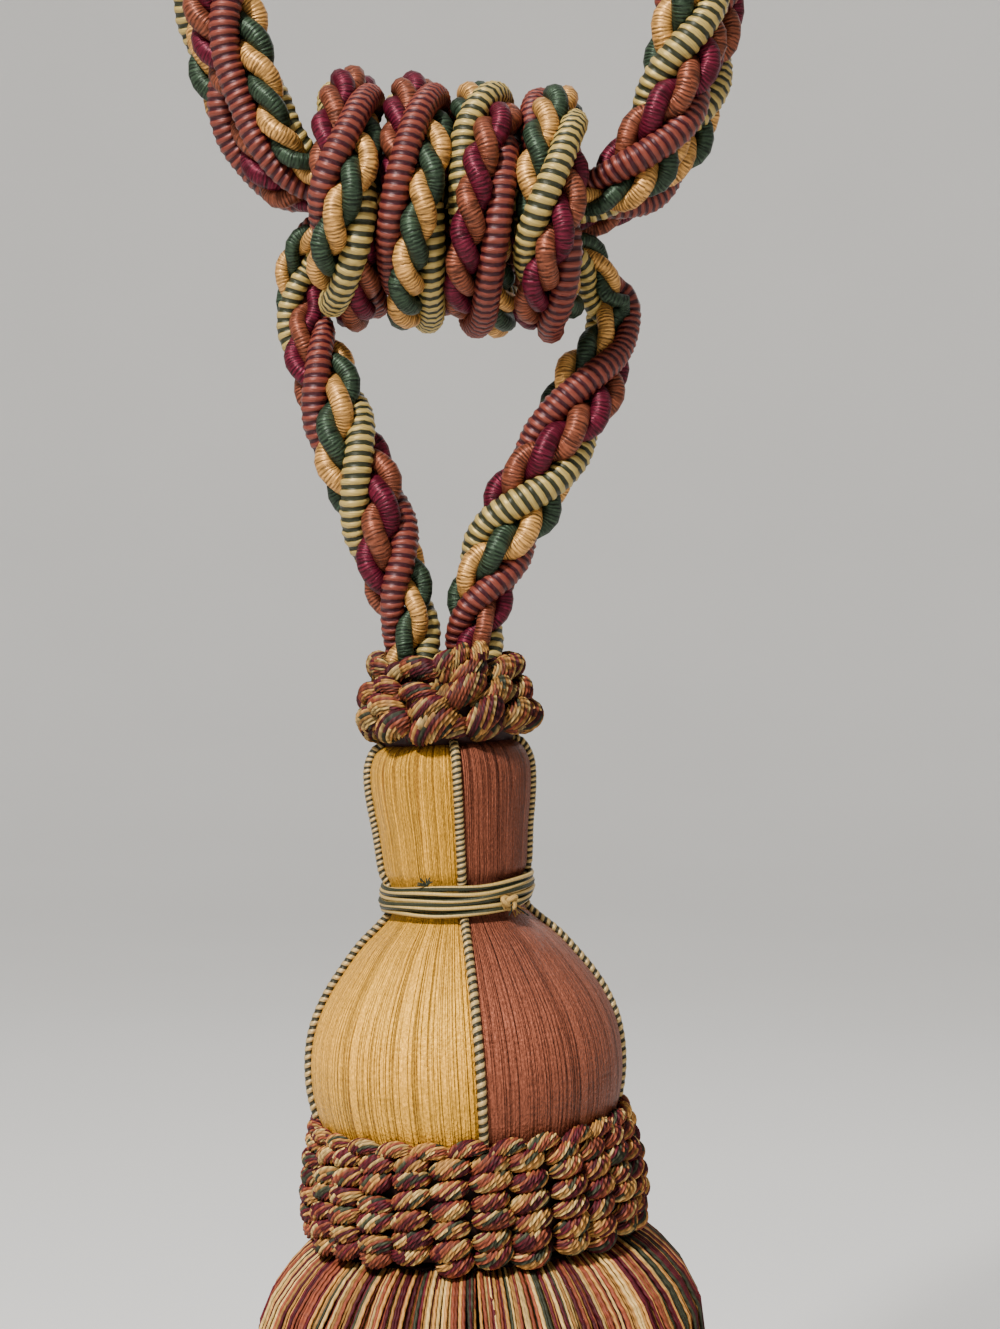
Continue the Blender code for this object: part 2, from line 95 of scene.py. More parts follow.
LOOP_TABLE = {
    "loop_left": (
        # x, y, z, rope radius
        (-35.0, -8.0, -204.6, 6.1), (-38.7, -8.2, -196.5, 6.8), (-42.4, -8.3, -188.7, 7.3),
        (-45.2, -8.4, -180.0, 7.6), (-47.3, -8.4, -165.0, 7.6), (-47.0, -8.4, -145.0, 7.6),
        (-43.0, -8.4, -120.0, 7.6), (-34.5, -8.4, -92.0, 7.6), (-19.2, -8.4, -62.5, 7.6),
        (-6.0, -8.4, -38.0, 7.6), (6.0, -8.4, -22.0, 7.6), (11.6, -8.4, -8.6, 7.6),
        (8.0, -8.4, 4.6, 7.6), (-1.5, -8.4, 7.6, 7.6), (-10.8, -8.4, 1.3, 7.6),
        (-15.0, -8.4, -12.0, 7.6), (-22.4, -8.4, -29.5, 7.6), (-35.0, -8.2, -54.0, 7.6),
        (-48.0, -6.4, -82.5, 7.6), (-57.0, -1.0, -113.0, 7.6), (-58.6, 4.5, -140.0, 7.6),
        (-54.2, 8.0, -160.0, 7.6), (-50.0, 8.4, -175.0, 7.6), (-47.2, 8.2, -185.0, 7.6),
        (-43.8, 8.0, -195.0, 7.5), (-39.5, 7.8, -203.0, 7.3), (-34.6, 7.4, -208.8, 6.9),
    ),
    "loop_right": (
        (34.4, -7.6, -210.3, 7.0), (39.0, -8.0, -204.0, 7.3), (42.3, -8.2, -196.5, 7.5),
        (44.5, -8.3, -188.7, 7.6), (45.9, -8.4, -180.0, 7.6), (46.8, -8.0, -165.0, 7.6),
        (46.0, -4.5, -143.0, 7.6), (41.5, 1.0, -116.0, 7.6), (31.8, 6.0, -86.0, 7.6),
        (18.2, 8.3, -59.0, 7.6), (6.0, 8.4, -37.0, 7.6), (-6.0, 8.4, -22.0, 7.6),
        (-11.6, 8.4, -8.6, 7.6), (-8.0, 8.4, 4.6, 7.6), (1.5, 8.4, 7.6, 7.6),
        (10.8, 8.4, 1.3, 7.6), (15.0, 8.4, -12.0, 7.6), (22.6, 8.4, -29.5, 7.6),
        (35.0, 8.4, -53.5, 7.6), (48.6, 8.4, -82.5, 7.6), (56.5, 8.4, -113.0, 7.6),
        (57.0, 8.4, -140.0, 7.6), (53.6, 8.4, -160.0, 7.6), (50.6, 8.4, -175.0, 7.6),
        (48.8, 8.2, -186.0, 7.6), (46.0, 8.0, -196.0, 7.5), (41.6, 7.8, -204.0, 7.2),
        (36.0, 7.2, -209.8, 6.8),
    ),
}
LEG_LEFT_MOUTH = (
    # along the barrel's axis, depth, height off it, rope radius
    (-14.0, 0.0, -6.57, 5.45), (-22.5, 0.5, -6.7, 5.4), (-27.6, 3.4, -8.9, 5.2), (-29.4, 7.0, -14.0, 5.2),
)
LEG_RIGHT_MOUTH = (
    (14.0, 0.0, -6.57, 5.45), (22.5, 0.5, -6.7, 5.4), (28.2, 3.4, -8.5, 5.2), (32.0, 7.0, -13.5, 5.3),
)
LEG_LEFT = (
    # x, y, z, rope radius
    (-31.6, 7.6, -236.5, 5.6), (-29.4, 5.4, -243.0, 6.2), (-26.2, 2.5, -250.6, 6.9),
    (-22.4, 0.5, -262.4, 7.4), (-17.2, 0.0, -274.4, 7.6), (-14.6, 0.0, -282.4, 7.6),
    (-11.4, 0.0, -292.5, 6.5), (-9.3, 0.0, -299.5, 6.0),
)
LEG_RIGHT = (
    (31.8, 9.4, -234.5, 5.6), (30.6, 7.6, -242.2, 6.2), (26.2, 3.0, -251.2, 7.4),
    (20.4, 0.0, -262.4, 7.6), (13.4, 0.0, -274.4, 7.6), (8.8, 0.0, -282.6, 7.4),
    (5.0, 0.0, -292.8, 6.5), (3.6, 0.0, -299.5, 6.0),
)
LEG_ROPE_END = 6.0
LEG_DEPTH_IN_RUFF = 3.7

# Which strand faces front, by height on the rope. Strands follow each other every quarter of a lay:
# 0 yellow and green gimp, 1 green and gold pair, 2 red gimp, 3 maroon and rust pair.
PHASES = {
    "loop_left": {
        "out": ((-211.3, 1.0), (-204.4, 1.15), (-196.5, 1.3), (-188.7, 1.7), (-179.3, 2.0)),
        "back": ((-193.3, 2.6), (-204.5, 3.5), (-212.7, 4.2)),
    },
    "loop_right": {
        "out": ((-214.2, 1.0), (-206.3, 2.0), (-197.5, 3.0), (-185.7, 4.0), (-175.0, 5.0)),
        "back": ((-176.0, 2.0), (-187.2, 3.0), (-198.4, 4.0), (-209.6, 5.0)),
    },
    "leg_rope": {
        "out": ((-300.0, 1.0), (-291.4, 2.0), (-280.4, 3.0), (-268.4, 4.0), (-258.4, 5.0), (-248.4, 6.0),
                (-238.4, 7.0), (-231.4, 8.0), (-227.5, 8.3), (-222.6, 8.7)),
        "back": ((-230.4, 0.75), (-238.4, 1.25), (-252.4, 2.0), (-263.4, 3.0), (-275.4, 4.0), (-284.4, 5.0),
                 (-294.4, 6.0), (-301.4, 7.0)),
    },
}
BARREL_PHASES = (
    # degrees past the top of the first turn, strand at the front: 0 maroon, 1 red, 2 green, 3 yellow
    (12, 0), (72, 1), (106, 2), (149, 3), (360, 8), (417, 9), (491, 10), (540, 10.4), (754, 15),
    (786, 16), (890, 16.9), (1068, 21), (1110, 22), (1165, 23), (1204, 24), (1250, 24.9),
)

HEAD_PROFILE = (
    # radius, depth
    (12.6, 18.3), (14.6, 19.6), (15.9, 22.5), (16.1, 26.0), (15.7, 30.5), (15.0, 35.5),
    (14.6, 40.0), (14.2, 43.4), (13.3, 46.0), (13.3, 51.3), (15.2, 53.9), (19.5, 57.8),
    (23.0, 62.0), (26.1, 66.2), (28.5, 70.4), (30.2, 75.0), (31.0, 80.0), (31.0, 85.0),
    (30.3, 89.5), (29.3, 93.0), (28.2, 96.5),
)
PANELS = ("front_right", "back_right", "back_left", "front_left")
SEAMS = ("front", "right", "back", "left")


def linear(red, green, blue):
    """A thread's colour from a screen colour, 0 to 255, under this studio's light."""
    return tuple(
        UNDER_KEY * (c / 12.92 if c <= 0.04045 else ((c + 0.055) / 1.055) ** 2.4)
        for c in (red / 255, green / 255, blue / 255)
    )


GOLD, PALE = linear(203, 141, 65), linear(221, 177, 101)
GREEN, FADED_GREEN = linear(52, 62, 51), linear(88, 94, 72)


def unit(vectors):
    return vectors / np.maximum(np.linalg.norm(vectors, axis=-1, keepdims=True), 1e-9)


def smooth_rows(rows, spacing):
    """Distances and rows at even spacing on a smooth curve through the given rows. The first three columns
    are the place, and every other column is carried along."""
    rows = np.array(rows, float)
    rows = np.vstack([2 * rows[0] - rows[1], rows, 2 * rows[-1] - rows[-2]])
    t = np.linspace(0, 1, STEPS_BETWEEN_ROWS, endpoint=False)[:, None]
    fine = []
    for a, b, c, d in zip(rows, rows[1:], rows[2:], rows[3:]):
        square = 2 * a - 5 * b + 4 * c - d
        cube = 3 * b - a - 3 * c + d
        fine.append(0.5 * (2 * b + (c - a) * t + square * t ** 2 + cube * t ** 3))
    fine = np.vstack([*fine, rows[-2:-1]])
    along = length_along(fine[:, :3])
    wanted = np.linspace(0, along[-1], max(2, round(along[-1] / spacing)) + 1)
    return wanted, np.stack([np.interp(wanted, along, column) for column in fine.T], axis=1)


def length_along(points):
    return np.r_[0, np.cumsum(np.linalg.norm(np.diff(points, axis=0), axis=1))]


def frames_on(points, outward):
    """Two directions square to the line at each point: the nearest to outward, and the one beside it."""
    tangent = unit(np.gradient(points, axis=0))
    front = unit(outward - (outward * tangent).sum(1, keepdims=True) * tangent)
    return front, np.cross(tangent, front)


def spokes(front, side, turn):
    """Directions turned from front towards side by an angle at each point."""
    return np.cos(turn)[:, None] * front + np.sin(turn)[:, None] * side


def level(points):
    """Horizontal directions from the tassel's axis through each point."""
    return unit(points * np.array((1, 1, 0)))


def round_axis(angle, radius, depth):
    """A place by its angle round the tassel's axis, its distance from it and its depth."""
    return np.array((radius * math.cos(angle), radius * math.sin(angle), -depth))


def turned_rings(profile, sides):
    """Rings of points round an upright axis through rows of radius and depth."""
    angle = TAU * np.arange(sides) / sides
    return np.array([[(r * math.cos(a), r * math.sin(a), -d) for a in angle] for r, d in profile])


class Pile:
    """Swept surfaces gathered into one mesh, each with a material slot and a tint for every face."""

    def __init__(self):
        self.points, self.corners, self.sizes = [], [], []
        self.uvs, self.slots, self.tints = [], [], []
        self.count = 0

    def sweep(self, rings, along, slot=0, tint=(1.0, 1.0, 1.0), closed=True, capped=True, ribs=None):
        """Adds a surface through rings of steps x sides x 3. Its u is the distance along and its v the
        share across. Tint is a colour, or one for each face. The last argument is the share of it that each
        line of points along the surface keeps: painted highlight on the crests of ribs, painted shade
        between them."""
        steps, sides = rings.shape[:2]
        index = self.count + np.arange(steps * sides).reshape(steps, sides)
        across = np.linspace(0, 1, sides + 1) if closed else np.linspace(0, 1, sides)
        if closed:
            index = np.concatenate([index, index[:, :1]], axis=1)
        u, v = np.broadcast_arrays(np.asarray(along, float)[:, None], across[None])
        uv = np.stack([u, v], axis=-1)

        def around(grid):
            return np.stack([grid[:-1, :-1], grid[:-1, 1:], grid[1:, 1:], grid[1:, :-1]], axis=2)

        quads = around(index).reshape(-1, 4)
        self.points.append(rings.reshape(-1, 3))
        self.count += steps * sides
        self.corners.append(quads.reshape(-1))
        self.sizes.append(np.full(len(quads), 4))
        self.uvs.append(around(uv).reshape(-1, 2))
        colours = np.broadcast_to(np.asarray(tint, float), (steps - 1, index.shape[1] - 1, 3))
        corner_tints = np.repeat(colours.reshape(-1, 3), 4, axis=0)
        if ribs is not None:
            kept = around(np.broadcast_to(np.append(ribs, ribs[0]), index.shape))
            corner_tints = corner_tints * kept.reshape(-1, 1)
        self.tints.append(corner_tints)
        self.slots.append(np.full(len(quads), slot))
        if closed and capped:
            self.cap(rings[0], index[0, ::-1], along[0], slot, colours[0, ::-1])
            self.cap(rings[-1], index[-1], along[-1], slot, colours[-1])

    def cap(self, ring, rim, along, slot, colours):
        """Closes an end ring with a fan of triangles round its middle."""
        sides = len(ring)
        self.points.append(ring.mean(0)[None])
        fan = np.stack([np.full(sides, self.count), rim[:-1], rim[1:]], axis=1)
        self.count += 1
        self.corners.append(fan.reshape(-1))
        self.sizes.append(np.full(sides, 3))
        self.uvs.append(np.tile((float(along), 0.5), (3 * sides, 1)))
        self.tints.append(np.repeat(colours, 3, axis=0))
        self.slots.append(np.full(sides, slot))

    def tube(self, points, along, radius, sides, outward, turn=0.0, **look):
        """A tube. Its radius is a number, one for each point, or one for each point and side. Turn, in
        radians, is how far its first side lies from the outward direction."""
        front, side = frames_on(points, outward)
        radius = np.asarray(radius, float)
        if radius.ndim == 1:
            radius = radius[:, None]
        at = TAU * np.arange(sides)[None] / sides + np.reshape(turn, (-1, 1))
        rings = points[:, None] + radius[..., None] * (
            np.cos(at)[..., None] * front[:, None] + np.sin(at)[..., None] * side[:, None]
        )
        self.sweep(rings, along, **look)

    def make(self, name, materials, place=None):
        points = np.vstack(self.points) * MM
        if place is not None:
            turn = np.array(place)
            points = points @ turn[:3, :3].T + turn[:3, 3]
        corners, sizes = np.concatenate(self.corners), np.concatenate(self.sizes)
        mesh = bpy.data.meshes.new(name)
        mesh.vertices.add(len(points))
        mesh.vertices.foreach_set("co", points.astype(np.float32).ravel())
        mesh.loops.add(len(corners))
        mesh.loops.foreach_set("vertex_index", corners.astype(np.int32))
        mesh.polygons.add(len(sizes))
        mesh.polygons.foreach_set("loop_start", np.r_[0, np.cumsum(sizes)[:-1]].astype(np.int32))
        mesh.update(calc_edges=True)
        mesh.polygons.foreach_set("material_index", np.concatenate(self.slots).astype(np.int32))
        uvs = mesh.uv_layers.new(name="UVMap").data
        uvs.foreach_set("uv", np.vstack(self.uvs).astype(np.float32).ravel())
        tint = np.vstack(self.tints)
        tint = np.concatenate([tint, np.ones((len(tint), 1))], axis=1).astype(np.float32)
        tints = mesh.color_attributes.new(name="tint", type="FLOAT_COLOR", domain="CORNER").data
        tints.foreach_set("color", tint.ravel())
        mesh.shade_smooth()
        for material in materials:
            mesh.materials.append(material)
        obj = bpy.data.objects.new(name, mesh)
        bpy.context.scene.collection.objects.link(obj)
        return obj


def declare(obj, node):
    """Hides the CAD node that a piece stands for, and hangs the piece on the body that it rides on."""
    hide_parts(node)
    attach(obj, BODY)


# ------------------------ materials


class Shade:
    """A material's node tree, with short calls for the nodes that the materials share."""

    def __init__(self, name, roughness, specular, anisotropic=0.0):
        self.material = bpy.data.materials.new(name)
        self.material.use_nodes = True
        self.tree = self.material.node_tree
        self.shader = self.tree.nodes["Principled BSDF"]
        self.set("Roughness", roughness)
        self.set("Specular IOR Level", specular)
        self.set("Anisotropic", anisotropic)
        uv = self.node("ShaderNodeUVMap")
        uv.uv_map = "UVMap"
        split = self.node("ShaderNodeSeparateXYZ")
        self.link(uv.outputs["UV"], split.inputs[0])
        self.along, self.across = split.outputs["X"], split.outputs["Y"]

    def set(self, socket, value):
        self.shader.inputs[socket].default_value = value

    def node(self, kind):
        return self.tree.nodes.new(kind)

    def link(self, output, socket):
        self.tree.links.new(output, socket)

    def math(self, operation, *values):
        node = self.node("ShaderNodeMath")
        node.operation = operation
        for socket, value in zip(node.inputs, values):
            if isinstance(value, (int, float)):
                socket.default_value = value
            else:
                self.link(value, socket)
        return node.outputs[0]

    def wave(self, per_mm, per_turn):
        """0 to 1 in waves: so many to the millimetre along, so many round the strand."""
        along = self.math("MULTIPLY", self.along, per_mm)
        across = self.math("MULTIPLY", self.across, per_turn)
        cosine = self.math("COSINE", self.math("MULTIPLY", self.math("ADD", along, across), TAU))
        return self.math("MULTIPLY_ADD", cosine, 0.5, 0.5)

    def noise(self, per_mm, per_turn, detail):
        """Noise with so many cells to the millimetre along and so many round the strand."""
        place = self.node("ShaderNodeCombineXYZ")
        self.link(self.math("MULTIPLY", self.along, per_mm), place.inputs[0])
        self.link(self.math("MULTIPLY", self.across, per_turn), place.inputs[1])
        noise = self.node("ShaderNodeTexNoise")
        noise.inputs["Scale"].default_value = 1.0
        noise.inputs["Detail"].default_value = detail
        self.link(place.outputs[0], noise.inputs["Vector"])
        return noise.outputs["Fac"]

    def grain(self, scale):
        """Noise in the object's own space, with so many cells to the metre."""
        where = self.node("ShaderNodeTexCoord")
        noise = self.node("ShaderNodeTexNoise")
        noise.inputs["Scale"].default_value = scale
        self.link(where.outputs["Object"], noise.inputs["Vector"])
        return noise.outputs["Fac"]

    def ramp(self, factor, *stops):
        ramp = self.node("ShaderNodeValToRGB")
        elements = ramp.color_ramp.elements
        while len(elements) < len(stops):
            elements.new(0.5)
        for element, (position, colour) in zip(elements, stops):
            element.position = position
            element.color = (*colour, 1.0)
        self.link(factor, ramp.inputs[0])
        return ramp.outputs["Color"]

    def vary(self, colour, factor, low, high):
        """The colour made darker and lighter by the factor."""
        bright = self.node("ShaderNodeHueSaturation")
        self.link(self.math("MULTIPLY_ADD", factor, high - low, low), bright.inputs["Value"])
        self.link(colour, bright.inputs["Color"])
        return bright.outputs["Color"]

    def finish(self, colour, height, distance, strength):
        """The material, with its colour and a relief of so many millimetres."""
        self.link(colour, self.shader.inputs["Base Color"])
        bump = self.node("ShaderNodeBump")
        bump.inputs["Distance"].default_value = distance * MM
        bump.inputs["Strength"].default_value = strength
        self.link(height, bump.inputs["Height"])
        self.link(bump.outputs["Normal"], self.shader.inputs["Normal"])
        return self.material


SILK_LUSTRE = 0.40  # share of the light that silk thread gives back in its own colour
GIMP_LUSTRE = 0.6 * SILK_LUSTRE
GIMP_EDGE = 0.09  # half the width over which a gimp's two colours meet


def scaled(colour, gain):
    return tuple(min(1.0, gain * c) for c in colour)


def gimp(name, pitch, crest, groove, change, starts=1.0):
    """Cord wound in two colours side by side: bands of crest colour with grooves of the other between.
    Change is the height on a band where they meet, and starts is how many bands run side by side."""
    shade = Shade(name, 0.42, 0.3)
    shade.set("Metallic", GIMP_LUSTRE)
    band = shade.wave(1 / pitch, -starts)
    colour = shade.ramp(band, (change - GIMP_EDGE, groove), (change + GIMP_EDGE, crest))
    threads = shade.noise(5.0, 2.0, 3.0)
    colour = shade.vary(colour, threads, 0.35, 1.55)
    height = shade.math("MULTIPLY_ADD", threads, 0.6, shade.math("MULTIPLY", band, 0.8))
    return shade.finish(colour, height, 0.3, 0.9)


def satin(name, colour):
    """A strand wound over with fine shiny thread, whose turns run round it."""
    shade = Shade(name, 0.40, 0.6)
    shade.set("Specular Tint", (*(0.3 + 0.7 * c for c in scaled(colour, 2.5)), 1.0))
    shade.set("Metallic", SILK_LUSTRE)
    wraps = shade.noise(3.2, 3.0, 3.0)
    fine = shade.wave(1.7, -1.0)
    light = shade.math("MULTIPLY_ADD", fine, 0.14, shade.math("MULTIPLY", wraps, 0.86))
    # partly the thread's own unevenness, partly painted: painted shade between the turns and painted glints
    # on them
    tone = shade.ramp(light, (0.36, scaled(colour, 0.28)), (0.50, colour), (0.64, scaled(colour, 1.9)))
    return shade.finish(tone, shade.math("MULTIPLY_ADD", fine, 0.12, wraps), 0.3, 1.0)


# Painted sheen and painted shade down each floss panel, as a brightness by the share of the way down it
FLOSS_PAINTED_SHEEN_TOP = 1.25
FLOSS_PAINTED_SHEEN = (
    # share of the way down a panel and brightness: painted sheen where the panel bulges, and painted shade
    # where it turns under
    (0.0, 0.78), (0.10, 0.86), (0.28, 0.78), (0.45, 0.77),
    (0.66, 0.92), (0.78, 0.94), (0.86, 0.71), (1.0, 0.62),
)


def parting(shade, across, down, gain):
    """Thin dark lines between the threads of a panel, which fade in and out down it."""
    off = shade.math("ABSOLUTE", shade.math("SUBTRACT", shade.noise(across, down, 0.0), 0.5))
    fade = shade.math("MULTIPLY_ADD", shade.noise(2.3 * across, 4.0, 1.0), 2.4, -0.85)
    return shade.math("MINIMUM", 1.0, shade.math("MAXIMUM", shade.math("MULTIPLY", off, gain), fade))


def floss(name, colour, deep):
    """Fine threads laid side by side down a panel: u counts them across it, v runs down its length."""
    shade = Shade(name, 0.40, 0.80, anisotropic=0.85)
    shade.set("Specular Tint", (*scaled(colour, 2.2), 1.0))
    wide = parting(shade, 0.43, 0.30, 26.0)
    narrow = parting(shade, 0.75, 0.45, 24.0)
    parted = shade.math("MULTIPLY", wide, narrow)
    threads = shade.noise(1.2, 24.0, 1.0)
    glints = shade.noise(1.3, 120.0, 1.0)
    light = shade.math("MULTIPLY", glints, 0.42)
    light = shade.math("MULTIPLY_ADD", threads, 0.28, light)
    light = shade.math("MULTIPLY_ADD", parted, 0.36, light)
    dull, bright = scaled(colour, 0.72), scaled(colour, 1.6)
    tone = shade.ramp(light, (0.36, deep), (0.62, dull), (0.71, colour), (0.83, bright))
    # painted sheen and painted shade, by the share of the way down the panel
    painted_sheen = shade.ramp(shade.across, *((place, (value,) * 3) for place, value in FLOSS_PAINTED_SHEEN))
    tone = shade.vary(tone, painted_sheen, 0.0, FLOSS_PAINTED_SHEEN_TOP)
    height = shade.math("MULTIPLY_ADD", glints, 1.0, shade.math("MULTIPLY", parted, 0.8))
    return shade.finish(tone, height, 0.35, 1.0)


YARN_BRIGHTNESS = 0.92  # halfway between the painted shade of a twist's groove and the painted highlight of its crest


def yarn(name, twists_per_mm, twists, fibres_round, painted_groove_shade):
    """Spun yarn of the face's own tint, with its twist raised and painted: painted shade in the twist's
    grooves and a painted highlight on its crests. The last argument is how bright the grooves stay.
    """
    shade = Shade(name, 0.62, 0.18)
    tint = shade.node("ShaderNodeVertexColor")
    tint.layer_name = "tint"
    fibres = shade.noise(1.4, fibres_round, 3.0)
    tone = shade.vary(tint.outputs["Color"], fibres, 0.35, 1.6)
    twist = shade.wave(twists_per_mm, twists)
    # painted shade in the twist's grooves and painted highlight on its crests
    tone = shade.vary(tone, twist, painted_groove_shade, 2 * YARN_BRIGHTNESS - painted_groove_shade)
    height = shade.math("MULTIPLY_ADD", fibres, 0.5, twist)
    return shade.finish(tone, height, 0.16, 0.9)


BAND_PITCH = 72.0  # the band's colours run lengthways on it, with hardly a turn


def make_materials():
    return {
        "rope": [
            gimp("red_gimp", RED_PITCH, linear(130, 61, 48), linear(60, 14, 24), 0.43),
            gimp("yellow_green_gimp", YELLOW_PITCH, linear(190, 163, 92), linear(46, 48, 28), 0.43),
            satin("gold_satin", linear(188, 138, 74)),
            satin("green_satin", linear(46, 60, 45)),
            satin("maroon_satin", linear(84, 18, 36)),
            satin("rust_satin", linear(117, 63, 44)),
        ],
        "seam": [gimp("seam_cord", SEAM_PITCH, linear(204, 172, 112), linear(54, 50, 32), 0.46)],
        "band": [gimp("band_cord", BAND_PITCH, linear(206, 172, 100), linear(48, 51, 31), 0.52, 2.0)],
        "gold_floss": [floss("gold_floss", linear(231, 167, 55), linear(120, 72, 26))],
        "rust_floss": [floss("rust_floss", linear(131, 74, 55), linear(42, 18, 13))],
        "ruff": [yarn("ruff_yarn", 0.9, 12.0, 24.0, 0.72)],
        "skirt": [yarn("skirt_yarn", 0.45, 1.0, 3.0, 0.80)],
    }


# ------------------------ rope


def in_knot(along, depth, height):
    """A place by the barrel knot's own tilted axes."""
    axis = np.array((math.cos(BARREL_TILT), 0.0, -math.sin(BARREL_TILT)))
    up = np.array((math.sin(BARREL_TILT), 0.0, math.cos(BARREL_TILT)))
    return BARREL_CENTRE + along * axis + np.array((0.0, depth, 0.0)) + height * up


def tassel_matrix():
    return Matrix.Translation(Vector(TASSEL_TOP) * MM) @ Matrix.Rotation(TASSEL_LEAN, 4, "Y")


def in_tassel(x, y, depth):
    """A place by the tassel's own leaning axes."""
    return np.array(Matrix.Rotation(TASSEL_LEAN, 3, "Y") @ Vector((x, y, -depth))) + np.array(TASSEL_TOP)


def lane_rows(lane, first, last):
    """A straight run of rope inside the knot."""
    depth, height = LANE[lane]
    return [(*in_knot(first + (last - first) * i / 2, depth, height), LANE_ROPE) for i in range(3)]


def loop_rows(name, side):
    out = lane_rows("front", side * GAP / 2, side * LANE_MOUTH)
    back = lane_rows("rear", side * LANE_MOUTH, side * GAP / 2)
    return [*out, *LOOP_TABLE[name], *back]


def leg_rows():
    left_end = (*in_tassel(-LEG_ROPE_END - GAP / 2, 0.0, LEG_DEPTH_IN_RUFF), LEG_ROPE_END)
    right_end = (*in_tassel(LEG_ROPE_END + GAP / 2, 0.0, LEG_DEPTH_IN_RUFF), LEG_ROPE_END)
    left = [(*in_knot(u, y, z), r) for u, y, z, r in LEG_LEFT_MOUTH]
    right = [(*in_knot(u, y, z), r) for u, y, z, r in LEG_RIGHT_MOUTH]
    return [left_end, *reversed(LEG_LEFT), *reversed(left), *right, *LEG_RIGHT, right_end]


def at_heights(along, heights, table):
    """The distance along that comes nearest to each height in the table, with the strand there."""
    return [(along[np.argmin(np.abs(heights - height))], strand) for height, strand in table]


def eased(values):
    """The values with their kinks spread out, and both ends kept."""
    window = 2 * PHASE_EASE + 1
    smooth = np.convolve(np.pad(values, PHASE_EASE, "edge"), np.ones(window) / window, "valid")
    index = np.arange(len(values))
    share = np.minimum(1, np.minimum(index, index[::-1]) / PHASE_EASE)
    return values + (smooth - values) * share


def phase_along(name, along, heights):
    """The strand that faces front at each point, from the table's heights on the way out and back."""
    half = len(along) // 2
    out = at_heights(along[:half], heights[:half], PHASES[name]["out"])
    back = at_heights(along[half:], heights[half:], PHASES[name]["back"])
    (first_at, first), (out_at, out_last), (back_at, back_first) = out[0], out[-1], back[0]
    expected = out_last + (back_at - out_at) / LAY_QUARTER
    shift = 4 * round((expected - back_first) / 4)  # whole turns of the lay between the two runs
    back = [(at, phase + shift) for at, phase in back]
    last_at, last = back[-1]
    start = (0.0, first - first_at / LAY_QUARTER)
    end = (along[-1], last + (along[-1] - last_at) / LAY_QUARTER)
    return eased(np.interp(along, *zip(start, *out, *back, end)))


def wound(length, pitch, sides, height):
    """A strand's radius for each point and side, as a cord wound round it raises a ridge each pitch."""
    across = np.arange(sides) / sides
    return 1 + height * np.cos(TAU * (length[:, None] / pitch - across[None]))


def lay_gimp(pile, centre, scale, ray, slot, pitch):
    """A round strand with the ridges of its winding."""
    length = length_along(centre)
    radius = (GIMP_RADIUS * scale)[:, None] * wound(length, pitch, STRAND_SIDES, GIMP_RIDGE)
    pile.tube(centre, length, radius, STRAND_SIDES, ray, slot=slot)


def lay_pair(pile, centre, scale, ray, slots):
    """Two satin strands twisted round each other."""
    length = length_along(centre)
    out, over = frames_on(centre, ray)
    for k, slot in enumerate(slots):
        spoke = spokes(out, over, math.pi * k - TAU * length / PAIR_LAY)
        line = centre + (PAIR_OFFSET * scale)[:, None] * spoke
        run = length_along(line)
        swell = 1 + PAIR_SWELL * np.sin(TAU * run / PAIR_SWELL_LENGTH + k)
        pile.tube(line, run, PAIR_RADIUS * scale * swell, STRAND_SIDES, spoke, slot=slot)


def lay_strands(pile, rows, outward, phase, order):
    """Two gimps and two satin pairs laid round the rope's centreline. Order names the strands by phase."""
    points, scale = rows[:, :3], rows[:, 3] / ROPE_RADIUS
    front, side = frames_on(points, outward)
    some = slice(None, None, PAIR_POINTS_EVERY)
    for strand, kind in enumerate(order):
        ray = spokes(front, side, 0.5 * math.pi * (phase - strand))
        if kind in GIMPS:
            lay_gimp(pile, points + (GIMP_CENTRE * scale)[:, None] * ray, scale, ray, *GIMPS[kind])
        else:
            centre = points + (PAIR_CENTRE * scale)[:, None] * ray
            lay_pair(pile, centre[some], scale[some], ray[some], PAIRS[kind])


def make_rope(name, rows, materials):
    """One of the free ropes, which comes out of the object and goes back into it."""
    along, path = smooth_rows(rows, ROPE_SPACING)
    outward = np.tile((0.0, -1.0, 0.0), (len(path), 1))
    pile = Pile()
    lay_strands(pile, path, outward, phase_along(name, along, path[:, 2]), ROPE_ORDER)
    obj = pile.make("laid_" + name, materials)
    declare(obj, name)


def make_barrel(materials):
    """The wound knot: turns square across the front that step sideways on the back."""
    first_shown = BARREL_PHASES[0][0]
    at_front = (math.pi / 2 - BARREL_BACK_STEP) / TAU
    rows = []
    for degrees in np.linspace(BARREL_START, BARREL_END, BARREL_ROWS):
        turn = math.radians(degrees)
        advance = (turn + BARREL_BACK_STEP * (math.cos(turn) - 1)) / TAU
        along = BARREL_FIRST_TURN + BARREL_PITCH * (advance - at_front)
        phase = np.interp(degrees, *zip(*BARREL_PHASES)) + min(0, degrees - first_shown) / BARREL_STRAND
        place = in_knot(along, -BARREL_RADIUS * math.sin(turn), BARREL_RADIUS * math.cos(turn))
        rows.append((*place, BARREL_ROPE, phase))
    _, path = smooth_rows(rows, ROPE_SPACING)
    axis = in_knot(1, 0, 0) - in_knot(0, 0, 0)
    off = path[:, :3] - BARREL_CENTRE
    outward = unit(off - (off @ axis)[:, None] * axis)
    pile = Pile()
    lay_strands(pile, path[:, :4], outward, path[:, 4], BARREL_ORDER)
    declare(pile.make("laid_barrel", materials), "barrel_wrap")


# ------------------------ ruffs


